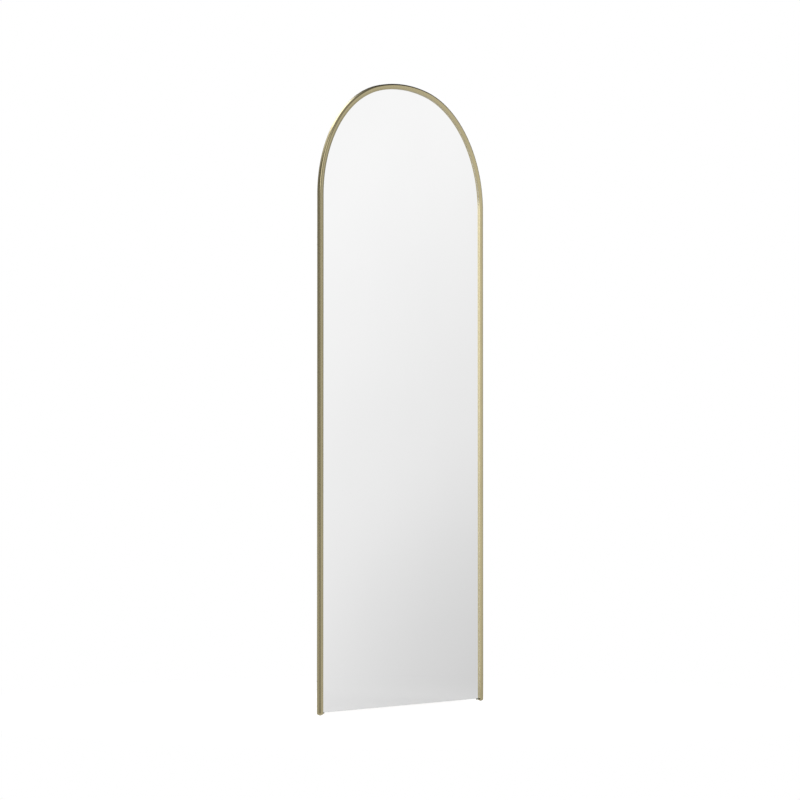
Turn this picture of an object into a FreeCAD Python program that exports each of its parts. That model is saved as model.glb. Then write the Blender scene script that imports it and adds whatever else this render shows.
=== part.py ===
"""Arched full-length floor mirror, in millimetres.

The front faces -Y, the left of the mirror as its user sees it is -X, and Z is up. The origin is on the
floor, in the middle of the width and of the whole depth. Depths in the drawings are measured backwards
from the rail's front face.
"""
import FreeCAD, Part
import math
import os
import Sketcher

doc = FreeCAD.newDocument("floor_mirror")

# ---------------------------------------------------------------- driving dimensions

SIZES = (
    ("overall_width", 813, "across the outer faces of the legs"),
    ("overall_height", 1930, "floor to the top of the arch"),
    ("shoulder_spread", 43.5, "centre line to the centre of a shoulder arc"),
    ("crown_lift", 4.5, "rise of the arch above its shoulder radius"),
    ("rail_face", 16.6, "width of the rail seen from the front"),
    ("rail_front_round", 5, "outer front corner of the rail"),
    ("rail_back_round", 2, "outer back corner of the rail"),
    ("rail_face_crown", 60, "radius of the gently crowned front face"),
    ("rail_lip_round", 0.8, "inner front edge of the rail"),
    ("rail_wall", 1.2, "wall of the hollow rail"),
    ("rail_web", 10, "width of the rail's deep outer chamber"),
    ("lip_depth", 5.6, "depth of the rail's front chamber, which overlaps the glass"),
    ("gasket_thickness", 0.8, "strip between lip and glass"),
    ("gasket_setback", 0.5, "strip's edge behind the edge of the lip"),
    ("glass_thickness", 4, "silvered glass"),
    ("glass_arris", 0.4, "ground edge of the glass"),
    ("tape_thickness", 0.5, "double-sided tape"),
    ("tape_width", 25, "one strip of tape"),
    ("tape_pitch", 140, "between the strips of tape"),
    ("tape_margin", 60, "end of a strip to the glass's bottom edge, and to the arch"),
    ("board_thickness", 2.5, "backing board"),
    ("board_setback", 2, "board's bottom edge above the glass's"),
    ("edge_clearance", 1, "glass and board to the web of the rail"),
    ("foot_height", 6, "floor to the end of the rail"),
    ("glide_height", 0.6, "glide below the foot"),
    ("glide_radius", 3, "nylon glide"),
    ("glide_depth", 2, "glide's seat in the foot"),
    ("dome_height", 5, "rounding of the foot, seen from the front and the side"),
    ("plug_clearance", 0.15, "foot's plug in the hollow rail"),
    ("plug_height", 18, "foot's plug above the end of the rail"),
    ("glide_clearance", 0.1, "glide in its seat"),
    ("ledge_length", 11, "foot's ledge beyond the inner edge of the rail"),
    ("ledge_thickness", 1.5, "foot's ledge"),
    ("ledge_setback", 1, "foot's ledge to the rail's back"),
    ("ledge_corner", 1.5, "rounded corner of the ledge"),
    ("block_height", 2, "rubber block between ledge and glass"),
    ("block_gap", 0.3, "rubber block to the web of the rail"),
    ("clip_width", 14, "panel clip along the rail"),
    ("clip_length", 20, "panel clip across the joint"),
    ("clip_thickness", 1, "panel clip"),
    ("clip_edge", 3, "clip's outer end to the rail's outer face"),
    ("clip_corner", 2, "rounded corner of a clip"),
    ("clip_screw_radius", 1.4, "shank of a clip screw"),
    ("brace_height", 40, "flat bar"),
    ("brace_thickness", 1.5, "flat bar"),
    ("brace_edge", 3, "bar's end to the rail's outer face"),
    ("brace_corner", 3, "rounded corner of a bar"),
    ("lower_brace_middle", 90, "floor to the middle of the lower bar"),
    ("upper_brace_drop", 140, "foot of the arch down to the middle of the upper bar"),
    ("brace_screw_radius", 1.7, "shank of a brace screw"),
    ("brace_screw_gap", 24, "between the two screws at one end of a bar"),
    ("screw_line", 6.3, "screws to the rail's outer face"),
    ("screw_clearance", 0.1, "around every shank"),
    ("screw_length", 7, "shank of a screw"),
    ("clip_head_radius", 2.8, "head of a clip screw"),
    ("brace_head_radius", 3.4, "head of a brace screw"),
    ("head_height", 1.6, "head of a screw"),
    ("head_rim", 0.5, "straight rim of a screw's head"),
    ("hanger_spread", 300, "centre line to a hanger"),
    ("strap_width", 16, "hanger strap"),
    ("strap_height", 34, "ring's axle to the strap's top"),
    ("strap_thickness", 1.5, "hanger strap"),
    ("strap_corner", 3, "rounded top corner of a strap"),
    ("strap_drop", 15, "middle of the bar down to the ring's axle"),
    ("rivet_radius", 2, "shank of a hanger rivet"),
    ("rivet_head_radius", 3.4, "head of a hanger rivet"),
    ("rivet_head_height", 1.2, "head of a hanger rivet"),
    ("rivet_first", 9.5, "ring's axle to the strap's lower rivet"),
    ("rivet_gap", 17, "between the strap's rivets"),
    ("ring_wire_radius", 1.6, "wire of the D-ring"),
    ("ring_clearance", 0.25, "wire in the rolled end of the strap"),
    ("ring_width", 26, "between the centres of the ring's two sides"),
    ("ring_corner", 4, "bend beside the ring's straight bar"),
    ("ring_side", 4, "straight side of the ring"),
    ("bumper_radius", 4, "wall bumper"),
    ("bumper_thickness", 2.5, "wall bumper"),
    ("bumper_rim", 0.8, "chamfered rim of a wall bumper"),
    ("bumper_spread", 60, "centre line to a wall bumper"),
)

sheet = doc.addObject("Spreadsheet::Sheet", "size")
for row, (alias, value, note) in enumerate(SIZES, start=1):
    sheet.set(f"A{row}", alias)
    sheet.set(f"B{row}", str(value))
    sheet.set(f"C{row}", note)
    sheet.setAlias(f"B{row}", alias)
doc.recompute()

# ---------------------------------------------------------------- derived sizes, as expressions on the sheet

HALF_WIDTH = "(size.overall_width / 2)"
SHOULDER_RADIUS = f"({HALF_WIDTH} - size.shoulder_spread)"
ARCH_RISE = f"({SHOULDER_RADIUS} + size.crown_lift)"
SPRING = f"(size.overall_height - {ARCH_RISE})"
# the crown arc touches both shoulder arcs, so its centre lies this far from theirs
CENTRE_GAP = "((size.shoulder_spread ^ 2 + size.crown_lift ^ 2) / (2 * size.crown_lift))"
CROWN_RADIUS = f"({SHOULDER_RADIUS} + {CENTRE_GAP})"

GASKET_FRONT = "size.lip_depth"
GLASS_FRONT = f"({GASKET_FRONT} + size.gasket_thickness)"
TAPE_FRONT = f"({GLASS_FRONT} + size.glass_thickness)"
BOARD_FRONT = f"({TAPE_FRONT} + size.tape_thickness)"
# the backing board lies flush with the rail's back
BACK = f"({BOARD_FRONT} + size.board_thickness)"
BRACE_BACK = f"({BACK} + size.brace_thickness)"

BARREL_BORE = "(size.ring_wire_radius + size.ring_clearance)"
BARREL_RADIUS = f"({BARREL_BORE} + size.strap_thickness)"
AXLE_DEPTH = f"({BRACE_BACK} + {BARREL_RADIUS})"
UPPER_BRACE = f"({SPRING} - size.upper_brace_drop)"
LOWER_BRACE = "size.lower_brace_middle"
AXLE_HEIGHT = f"({UPPER_BRACE} - size.strap_drop)"
OVERALL_DEPTH = f"({AXLE_DEPTH} + {BARREL_RADIUS})"
FRONT_Y = f"-{OVERALL_DEPTH} / 2"

STRAP_BACK = f"({BRACE_BACK} + size.strap_thickness)"
PANEL_INSET = "(size.rail_web + size.edge_clearance)"
GLASS_BOTTOM = "(size.foot_height + size.block_height)"
BOARD_BOTTOM = f"({GLASS_BOTTOM} + size.board_setback)"
LEDGE_END = "(size.rail_face + size.ledge_length)"
FOOT_MIDDLE = "(size.rail_face / 2)"

# where the strap's rolled end stops, in degrees up from the back of the barrel
SEAM_ANGLE = 110
# lengths under this count as nothing when edges are picked
NEAR = 1e-4


def number(expression):
    """The value of an expression on the sheet."""
    value = sheet.evalExpression(expression)
    return float(getattr(value, "Value", value))


# ---------------------------------------------------------------- drawing and modelling helpers


def new_body(name):
    """A body whose drawings are measured from the rail's front face."""
    body = doc.addObject("PartDesign::Body", name)
    body.Label = name
    body.setExpression("Placement.Base.y", FRONT_Y)
    return body


def new_sketch(body, role, name, offset="0"):
    """A sketch on one of the body's origin planes, moved along that plane's normal."""
    plane = next(item for item in body.Origin.OriginFeatures if item.Role == role)
    sketch = body.newObject("Sketcher::SketchObject", name)
    sketch.AttachmentSupport = [(plane, "")]
    sketch.MapMode = "FlatFace"
    sketch.setExpression("AttachmentOffset.Base.z", offset)
    return sketch


def dimension(sketch, kind, *where, to):
    """Adds a dimension and ties it to the sheet."""
    index = sketch.addConstraint(Sketcher.Constraint(kind, *where, number(to)))
    sketch.setExpression(f"Constraints[{index}]", to)


def pin_point(sketch, item, end, corner):
    """Ties a point of the sketch to a place given as two expressions."""
    dimension(sketch, "DistanceX", -1, 1, item, end, to=corner[0])
    dimension(sketch, "DistanceY", -1, 1, item, end, to=corner[1])


def arc_between(start, end, radius, side):
    """The short arc from start to end, with its centre on the left of the way (side 1) or the right (-1)."""
    chord = end - start
    height = math.sqrt(radius ** 2 - (chord.Length / 2) ** 2)
    left = FreeCAD.Vector(-chord.y, chord.x, 0).normalize()
    centre = (start + end) / 2 + left * height * side
    first, last = (start, end) if side > 0 else (end, start)
    angles = [math.atan2(point.y - centre.y, point.x - centre.x) for point in (first, last)]
    return Part.ArcOfCircle(Part.Circle(centre, FreeCAD.Vector(0, 0, 1), radius), *angles)


def outline(sketch, corners, bends, closed=True):
    """Draws a run of sides through the corners.

    bends maps the number of a side to (radius, side): that side is an arc, and the others are straight.
    """
    spots = [FreeCAD.Vector(number(x), number(y), 0) for x, y in corners]
    ends = spots[1:] + spots[:1] if closed else spots[1:]
    sides = []
    for index, (start, end) in enumerate(zip(spots, ends)):
        if index in bends:
            radius, side = bends[index]
            item = sketch.addGeometry(arc_between(start, end, number(radius), side))
            sides.append((item, 1, 2) if side > 0 else (item, 2, 1))
        else:
            item = sketch.addGeometry(Part.LineSegment(start, end))
            sides.append((item, 1, 2))
    for index, (item, first, last) in enumerate(sides):
        if closed or index < len(sides) - 1:
            following, following_first, _ = sides[(index + 1) % len(sides)]
            sketch.addConstraint(Sketcher.Constraint("Coincident", item, last, following, following_first))
        else:
            pin_point(sketch, item, last, corners[-1])
        if index in bends:
            dimension(sketch, "Radius", item, to=bends[index][0])
        pin_point(sketch, item, first, corners[index])


def circle(sketch, corner, radius):
    """Draws a circle."""
    middle = FreeCAD.Vector(number(corner[0]), number(corner[1]), 0)
    item = sketch.addGeometry(Part.Circle(middle, FreeCAD.Vector(0, 0, 1), number(radius)))
    pin_point(sketch, item, 3, corner)
    dimension(sketch, "Radius", item, to=radius)


def rounded_rectangle(sketch, low, high, corner):
    """Draws a rectangle between two opposite corners, with its corners rounded."""
    (left, bottom), (right, top) = low, high
    corners = [
        (f"({left} + {corner})", bottom), (f"({right} - {corner})", bottom),
        (right, f"({bottom} + {corner})"), (right, f"({top} - {corner})"),
        (f"({right} - {corner})", top), (f"({left} + {corner})", top),
        (left, f"({top} - {corner})"), (left, f"({bottom} + {corner})"),
    ]
    outline(sketch, corners, {index: (corner, 1) for index in (1, 3, 5, 7)})


def pad(body, sketch, length, backwards=True, midplane=False):
    """Pads a sketch. From an upright sketch that faces the front, backwards is towards the wall."""
    feature = body.newObject("PartDesign::Pad", "Pad")
    feature.Profile = sketch
    feature.setExpression("Length", length)
    feature.Reversed = backwards
    feature.Midplane = midplane
    return feature


def pocket(body, sketch, length=None, forwards=False, midplane=False):
    """Cuts a sketch out of the body, right through if no length is given, and makes sure that it does cut."""
    doc.recompute()
    before = body.Shape.Volume
    feature = body.newObject("PartDesign::Pocket", "Pocket")
    feature.Profile = sketch
    if length is None:
        feature.Type = "ThroughAll"
    else:
        feature.setExpression("Length", length)
    feature.Midplane = midplane
    feature.Reversed = forwards
    doc.recompute()
    if body.Shape.Volume > before - 1e-6:
        raise RuntimeError(f"{body.Label}: {sketch.Label} cuts nothing")
    return feature


def soften(body, kind, size_name, size, edges):
    """Rounds or chamfers the edges of the body that a test picks."""
    doc.recompute()
    tip = body.Tip
    names = [f"Edge{number}" for number, edge in enumerate(tip.Shape.Edges, start=1) if edges(edge)]
    feature = body.newObject(f"PartDesign::{kind}", kind)
    feature.Base = (tip, names)
    feature.setExpression(size_name, size)
    return feature


def turned(body, sketch):
    """Turns a half outline about the front-to-back axis."""
    feature = body.newObject("PartDesign::Revolution", "Turned")
    feature.Profile = sketch
    feature.ReferenceAxis = (sketch, ["V_Axis"])
    feature.Angle = 360
    return feature


def arch_corners(inset, bottom):
    """The corners of the arch, from the left leg's foot over the top to the right leg's, and its bends."""
    shoulder = f"({SHOULDER_RADIUS} - {inset})"
    # the shoulder and crown arcs meet on the line through their centres
    joint_x = f"(size.shoulder_spread + {shoulder} * size.shoulder_spread / {CENTRE_GAP})"
    joint_z = f"({SPRING} + {shoulder} * ({CENTRE_GAP} - size.crown_lift) / {CENTRE_GAP})"
    side_x = f"({HALF_WIDTH} - {inset})"
    corners = [
        (f"-{side_x}", bottom),
        (f"-{side_x}", SPRING),
        (f"-{joint_x}", joint_z),
        (joint_x, joint_z),
        (side_x, SPRING),
        (side_x, bottom),
    ]
    bends = {1: (shoulder, -1), 2: (f"({CROWN_RADIUS} - {inset})", -1), 3: (shoulder, -1)}
    return corners, bends


def arched_panel(name, inset, bottom, front, thickness):
    """A flat panel with an arched top and a straight bottom."""
    body = new_body(name)
    sketch = new_sketch(body, "XZ_Plane", "Outline", f"-{front}")
    outline(sketch, *arch_corners(inset, bottom))
    pad(body, sketch, thickness)
    return body


# ---------------------------------------------------------------- the rail and its feet


def rail_x(distance):
    """A place on the left leg, measured inwards from the rail's outer face."""
    return f"(-{HALF_WIDTH} + {distance})"


def section_outline(sketch, inner_corners):
    """The rail's outer section at the foot of the left leg: crowned front, rounded outer corners."""
    crown, lip_round = "size.rail_face_crown", "size.rail_lip_round"
    # the crown arc and the small round of the lip touch on the line through their centres
    across = f"(size.rail_face - {lip_round} - size.rail_front_round)"
    reach = f"({crown} - {lip_round})"
    lip_centre_y = f"({crown} - sqrt({reach} ^ 2 - {across} ^ 2))"
    touch_x = f"size.rail_front_round + {across} * {crown} / {reach}"
    touch_y = f"({crown} - sqrt({reach} ^ 2 - {across} ^ 2) * {crown} / {reach})"
    corners = [
        (rail_x("size.rail_front_round"), "0"),
        (rail_x(touch_x), touch_y),
        (rail_x("size.rail_face"), lip_centre_y),
        *inner_corners,
        (rail_x("size.rail_back_round"), BACK),
        (rail_x("0"), f"({BACK} - size.rail_back_round)"),
        (rail_x("0"), "size.rail_front_round"),
    ]
    last = len(corners) - 1
    bends = {
        0: (crown, 1),
        1: (lip_round, 1),
        last - 2: ("size.rail_back_round", 1),
        last: ("size.rail_front_round", 1),
    }
    outline(sketch, corners, bends)


def section_hollow(sketch, wall):
    """The rail's hollow, an L that leaves `wall` all round. It also shapes the plug of a foot."""
    crown = f"(size.rail_face_crown - {wall})"
    across = f"(size.rail_face - {wall} - size.rail_front_round)"
    front_round = f"(size.rail_front_round - {wall})"
    corners = [
        (rail_x("size.rail_front_round"), wall),
        (rail_x(f"size.rail_face - {wall}"), f"(size.rail_face_crown - sqrt({crown} ^ 2 - {across} ^ 2))"),
        (rail_x(f"size.rail_face - {wall}"), f"(size.lip_depth - {wall})"),
        (rail_x(f"size.rail_web - {wall}"), f"(size.lip_depth - {wall})"),
        (rail_x(f"size.rail_web - {wall}"), f"({BACK} - {wall})"),
        (rail_x(wall), f"({BACK} - {wall})"),
        (rail_x(wall), "size.rail_front_round"),
    ]
    outline(sketch, corners, {0: (crown, 1), 6: (front_round, 1)})


def leg_heights():
    """The heights of the clips on one leg, evenly spaced between the two braces."""
    return [f"({LOWER_BRACE} + ({UPPER_BRACE} - {LOWER_BRACE}) * {step} / {LEG_CLIPS + 1})"
            for step in range(1, LEG_CLIPS + 1)]


def clip_spots():
    """Each clip's screw, as (x, z, direction), where direction is the way out of the arch in degrees."""
    spots = []
    for side in (-1, 1):
        for height in leg_heights():
            spots.append((f"{side} * ({HALF_WIDTH} - size.screw_line)", height, 90 - 90 * side))
        for angle in ARCH_CLIP_ANGLES:
            reach = f"({SHOULDER_RADIUS} - size.screw_line)"
            spot_x = f"{side} * (size.shoulder_spread + {reach} * cos({angle} deg))"
            spot_z = f"({SPRING} + {reach} * sin({angle} deg))"
            spots.append((spot_x, spot_z, angle if side > 0 else 180 - angle))
    spots.append(("0", "(size.overall_height - size.screw_line)", 90))
    return spots


def brace_spots(middle):
    """The four screws of one brace."""
    return [(f"{side} * ({HALF_WIDTH} - size.screw_line)", f"({middle} + {step} * size.brace_screw_gap / 2)")
            for side in (-1, 1) for step in (-1, 1)]


LEG_CLIPS = 4
ARCH_CLIP_ANGLES = (20, 52)
CLIP_HOLE = "(size.clip_screw_radius + size.screw_clearance)"
BRACE_HOLE = "(size.brace_screw_radius + size.screw_clearance)"
RIVET_HOLE = "(size.rivet_radius + size.screw_clearance)"

# one hollow rail, bent round the arch, with screw holes through its back wall
frame_rail = new_body("frame_rail")
rail_path = new_sketch(frame_rail, "XZ_Plane", "RailPath")
outline(rail_path, *arch_corners("0", "size.foot_height"), closed=False)
rail_section = new_sketch(frame_rail, "XY_Plane", "RailSection", "size.foot_height")
section_outline(rail_section, [
    (rail_x("size.rail_face"), "size.lip_depth"),
    (rail_x("size.rail_web"), "size.lip_depth"),
    (rail_x("size.rail_web"), BACK),
])
section_hollow(rail_section, "size.rail_wall")
rail_pipe = frame_rail.newObject("PartDesign::AdditivePipe", "RailPipe")
rail_pipe.Profile = rail_section
rail_pipe.Spine = rail_path
rail_holes = new_sketch(frame_rail, "XZ_Plane", "RailHoles", f"-{BACK}")
for spot_x, spot_z, _ in clip_spots():
    circle(rail_holes, (spot_x, spot_z), CLIP_HOLE)
for middle in (LOWER_BRACE, UPPER_BRACE):
    for spot in brace_spots(middle):
        circle(rail_holes, spot, BRACE_HOLE)
# from the back wall forwards into the hollow, no further
pocket(frame_rail, rail_holes, length="(size.rail_wall * 1.5)", forwards=True)

# a foot closes each leg: a dome below, a plug up into the rail, and a ledge under the glass
foot_cap_left = new_body("foot_cap_left")
foot_section = new_sketch(foot_cap_left, "XY_Plane", "FootSection", "size.glide_height")
section_outline(foot_section, [(rail_x("size.rail_face"), BACK)])
pad(foot_cap_left, foot_section, "size.foot_height - size.glide_height", backwards=False)


def dome_side(low, high):
    """The outline of what is cut away below the foot so that it is round from one side."""
    chord = f"(({high}) - ({low}))"
    radius = f"(({chord} ^ 2 / 4 + size.dome_height ^ 2) / (2 * size.dome_height))"
    start = "(size.glide_height + size.dome_height)"
    corners = [(low, start), (low, "0"), (high, "0"), (high, start)]
    return corners, {3: (radius, -1)}


front_dome = new_sketch(foot_cap_left, "XZ_Plane", "FrontDome")
outline(front_dome, *dome_side(rail_x("0"), rail_x("size.rail_face")))
pocket(foot_cap_left, front_dome, midplane=True)
side_dome = new_sketch(foot_cap_left, "YZ_Plane", "SideDome")
outline(side_dome, *dome_side("0", BACK))
pocket(foot_cap_left, side_dome, midplane=True)
foot_plug = new_sketch(foot_cap_left, "XY_Plane", "Plug", "size.foot_height")
section_hollow(foot_plug, "(size.rail_wall + size.plug_clearance)")
pad(foot_cap_left, foot_plug, "size.plug_height", backwards=False)
foot_ledge = new_sketch(foot_cap_left, "XY_Plane", "Ledge", "size.foot_height - size.ledge_thickness")
rounded_rectangle(
    foot_ledge,
    (rail_x("size.rail_web"), GASKET_FRONT),
    (rail_x(LEDGE_END), f"({BACK} - size.ledge_setback)"),
    "size.ledge_corner",
)
pad(foot_cap_left, foot_ledge, "size.ledge_thickness", backwards=False)
glide_seat = new_sketch(foot_cap_left, "XY_Plane", "GlideSeat", "size.glide_height + size.glide_depth")
circle(glide_seat, (rail_x(FOOT_MIDDLE), f"({BACK} / 2)"), "(size.glide_radius + size.glide_clearance)")
pocket(foot_cap_left, glide_seat)

foot_cap_right = doc.addObject("Part::Mirroring", "foot_cap_right")
foot_cap_right.Label = "foot_cap_right"
foot_cap_right.Source = foot_cap_left
foot_cap_right.Normal = (1, 0, 0)


def placed(kind, name, sizes, corner):
    """A plain solid whose sizes and place are tied to the sheet."""
    solid = doc.addObject(kind, name)
    solid.Label = name
    for size, expression in sizes.items():
        solid.setExpression(size, expression)
    for axis, expression in zip("xyz", corner):
        solid.setExpression(f"Placement.Base.{axis}", expression)
    return solid


def foot_fittings(side_name, side):
    """The nylon glide of one foot and the rubber block on its ledge."""
    glide = placed(
        "Part::Cylinder", f"foot_glide_{side_name}",
        {"Radius": "size.glide_radius", "Height": "size.glide_height + size.glide_depth"},
        (f"{side} * ({HALF_WIDTH} - {FOOT_MIDDLE})", f"{FRONT_Y} + {BACK} / 2", "0"),
    )
    block_start = "(size.rail_web + size.block_gap)"
    block_edge = LEDGE_END if side > 0 else block_start
    block = placed(
        "Part::Box", f"setting_block_{side_name}",
        {"Length": f"{LEDGE_END} - {block_start}", "Width": "size.glass_thickness",
         "Height": "size.block_height"},
        (f"{side} * ({HALF_WIDTH} - {block_edge})", f"{FRONT_Y} + {GLASS_FRONT}", "size.foot_height"),
    )
    return glide, block


foot_glide_left, setting_block_left = foot_fittings("left", -1)
foot_glide_right, setting_block_right = foot_fittings("right", 1)


# ---------------------------------------------------------------- the panel in the rail

mirror_glass = arched_panel("mirror_glass", PANEL_INSET, GLASS_BOTTOM, GLASS_FRONT, "size.glass_thickness")
soften(mirror_glass, "Chamfer", "Size", "size.glass_arris",
       lambda edge: edge.BoundBox.YLength < NEAR)

glazing_gasket = new_body("glazing_gasket")
gasket_outline = new_sketch(glazing_gasket, "XZ_Plane", "Outline", f"-{GASKET_FRONT}")
outer_corners, outer_bends = arch_corners(PANEL_INSET, GLASS_BOTTOM)
inner_corners, inner_bends = arch_corners("(size.rail_face - size.gasket_setback)", GLASS_BOTTOM)
# up the outside and back along the inside, whose bends are met in the opposite order
inner_sides = {10 - index: (radius, 1) for index, (radius, _) in inner_bends.items()}
outline(gasket_outline, outer_corners + inner_corners[::-1], {**outer_bends, **inner_sides})
pad(glazing_gasket, gasket_outline, "size.gasket_thickness")

backing_board = arched_panel("backing_board", PANEL_INSET, BOARD_BOTTOM, BOARD_FRONT, "size.board_thickness")

TAPE_STRIPS = 5
bonding_tape = new_body("bonding_tape")
tape_outline = new_sketch(bonding_tape, "XZ_Plane", "Strips", f"-{TAPE_FRONT}")
for strip in range(TAPE_STRIPS):
    tape_middle = f"({strip - TAPE_STRIPS // 2} * size.tape_pitch)"
    tape_side = f"({abs(strip - TAPE_STRIPS // 2)} * size.tape_pitch + size.tape_width / 2)"
    # the strip stops below the shoulder arc, which the crown never falls under
    tape_reach = f"({SHOULDER_RADIUS} - {PANEL_INSET} - size.tape_margin)"
    tape_top = f"({SPRING} + sqrt({tape_reach} ^ 2 - max(0; {tape_side} - size.shoulder_spread) ^ 2))"
    tape_bottom = f"({BOARD_BOTTOM} + size.tape_margin)"
    outline(tape_outline, [
        (f"({tape_middle} - size.tape_width / 2)", tape_bottom),
        (f"({tape_middle} + size.tape_width / 2)", tape_bottom),
        (f"({tape_middle} + size.tape_width / 2)", tape_top),
        (f"({tape_middle} - size.tape_width / 2)", tape_top),
    ], {})
pad(bonding_tape, tape_outline, "size.tape_thickness")


# ---------------------------------------------------------------- what holds the back together


def group(name, master, spots):
    """Copies of a small piece, modelled at the origin, set out as one group of separate solids.

    Each spot is (x, z, direction), where direction turns the piece's +X side in degrees.
    """
    copies = []
    for spot_x, spot_z, direction in spots:
        where = FreeCAD.Vector(number(spot_x), 0, number(spot_z))
        turn = FreeCAD.Rotation(FreeCAD.Vector(0, -1, 0), direction)
        copies.append(master.Shape.transformed(FreeCAD.Placement(where, turn).toMatrix()))
    feature = doc.addObject("Part::Feature", name)
    feature.Label = name
    feature.Shape = Part.makeCompound(copies)
    return feature


def panel_clip():
    """A flat clip, hole at the origin, whose +X end lies on the rail and whose long end holds the board."""
    body = new_body("panel_clip")
    sketch = new_sketch(body, "XZ_Plane", "Outline", f"-{BACK}")
    outer_end = "(size.screw_line - size.clip_edge)"
    rounded_rectangle(
        sketch,
        (f"({outer_end} - size.clip_length)", "(-size.clip_width / 2)"),
        (outer_end, "(size.clip_width / 2)"),
        "size.clip_corner",
    )
    circle(sketch, ("0", "0"), CLIP_HOLE)
    pad(body, sketch, "size.clip_thickness")
    return body


def pan_screw(name, radius, head_radius, seat):
    """A pan-head screw that points to the front. seat is the depth under its head."""
    body = new_body(name)
    half = new_sketch(body, "XY_Plane", "HalfOutline")
    tip = f"({seat} - size.screw_length)"
    rim = f"({seat} + size.head_rim)"
    crown = f"({seat} + size.head_height)"
    rise = "(size.head_height - size.head_rim)"
    corners = [
        ("0", tip), (radius, tip), (radius, seat), (head_radius, seat), (head_radius, rim), ("0", crown),
    ]
    outline(half, corners, {4: (f"(({head_radius} ^ 2 + {rise} ^ 2) / (2 * {rise}))", 1)})
    turned(body, half)
    return body


def hanger_rivet():
    """A rivet, flush with the bar's front and domed behind the strap."""
    body = new_body("hanger_rivet")
    half = new_sketch(body, "XY_Plane", "HalfOutline")
    crown = f"({STRAP_BACK} + size.rivet_head_height)"
    dome = "((size.rivet_head_radius ^ 2 + size.rivet_head_height ^ 2) / (2 * size.rivet_head_height))"
    corners = [
        ("0", BACK), ("size.rivet_radius", BACK), ("size.rivet_radius", STRAP_BACK),
        ("size.rivet_head_radius", STRAP_BACK), ("0", crown),
    ]
    outline(half, corners, {3: (dome, 1)})
    turned(body, half)
    return body


def wall_bumper():
    """A soft round pad with a chamfered rim."""
    body = new_body("wall_bumper")
    half = new_sketch(body, "XY_Plane", "HalfOutline")
    back = f"({BACK} + size.bumper_thickness)"
    corners = [
        ("0", BACK), ("size.bumper_radius", BACK), ("size.bumper_radius", f"({back} - size.bumper_rim)"),
        ("(size.bumper_radius - size.bumper_rim)", back), ("0", back),
    ]
    outline(half, corners, {})
    turned(body, half)
    return body


def flat_bar(name, middle, more_holes=()):
    """A bar across both legs."""
    body = new_body(name)
    sketch = new_sketch(body, "XZ_Plane", "Outline", f"-{BACK}")
    reach = f"({HALF_WIDTH} - size.brace_edge)"
    rounded_rectangle(
        sketch,
        (f"(-{reach})", f"({middle} - size.brace_height / 2)"),
        (reach, f"({middle} + size.brace_height / 2)"),
        "size.brace_corner",
    )
    for spot in brace_spots(middle):
        circle(sketch, spot, BRACE_HOLE)
    for spot in more_holes:
        circle(sketch, spot, RIVET_HOLE)
    pad(body, sketch, "size.brace_thickness")
    return body


def rivet_spots(side):
    """The two rivets of one strap, from the bottom up."""
    middle_x = f"({side} * size.hanger_spread)"
    first = f"({AXLE_HEIGHT} + size.rivet_first)"
    return [(middle_x, first), (middle_x, f"({first} + size.rivet_gap)")]


def hanger_strap(name, side):
    """A steel strip riveted to the bar, with its lower end rolled into a barrel round the ring's axle."""
    body = new_body(name)
    sketch = new_sketch(body, "YZ_Plane", "RolledStrip", f"{side} * size.hanger_spread")
    top = f"({AXLE_HEIGHT} + size.strap_height)"
    # round the barrel: down its front, along its bottom and up its back, to a seam short of the strip
    outer = [(f"({AXLE_DEPTH} - {BARREL_RADIUS})", AXLE_HEIGHT),
             (AXLE_DEPTH, f"({AXLE_HEIGHT} - {BARREL_RADIUS})"),
             (f"({AXLE_DEPTH} + {BARREL_RADIUS})", AXLE_HEIGHT),
             (f"({AXLE_DEPTH} + {BARREL_RADIUS} * cos({SEAM_ANGLE} deg))",
              f"({AXLE_HEIGHT} + {BARREL_RADIUS} * sin({SEAM_ANGLE} deg))")]
    inner = [(f"({AXLE_DEPTH} + {BARREL_BORE} * cos({SEAM_ANGLE} deg))",
              f"({AXLE_HEIGHT} + {BARREL_BORE} * sin({SEAM_ANGLE} deg))"),
             (f"({AXLE_DEPTH} + {BARREL_BORE})", AXLE_HEIGHT),
             (AXLE_DEPTH, f"({AXLE_HEIGHT} - {BARREL_BORE})"),
             (f"({AXLE_DEPTH} - {BARREL_BORE})", AXLE_HEIGHT)]
    corners = [(BRACE_BACK, top), *outer, *inner, (STRAP_BACK, top)]
    bends = {index: (BARREL_RADIUS, 1) for index in (1, 2, 3)}
    bends.update({index: (BARREL_BORE, -1) for index in (5, 6, 7)})
    outline(sketch, corners, bends)
    pad(body, sketch, "size.strap_width", backwards=False, midplane=True)
    holes = new_sketch(body, "XZ_Plane", "RivetHoles", f"-{BRACE_BACK}")
    for spot in rivet_spots(side):
        circle(holes, spot, RIVET_HOLE)
    pocket(body, holes)
    top_z = number(top)
    soften(body, "Fillet", "Radius", "size.strap_corner",
           lambda edge: edge.BoundBox.ZMin > top_z - NEAR and edge.BoundBox.XLength < NEAR)
    return body


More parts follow.
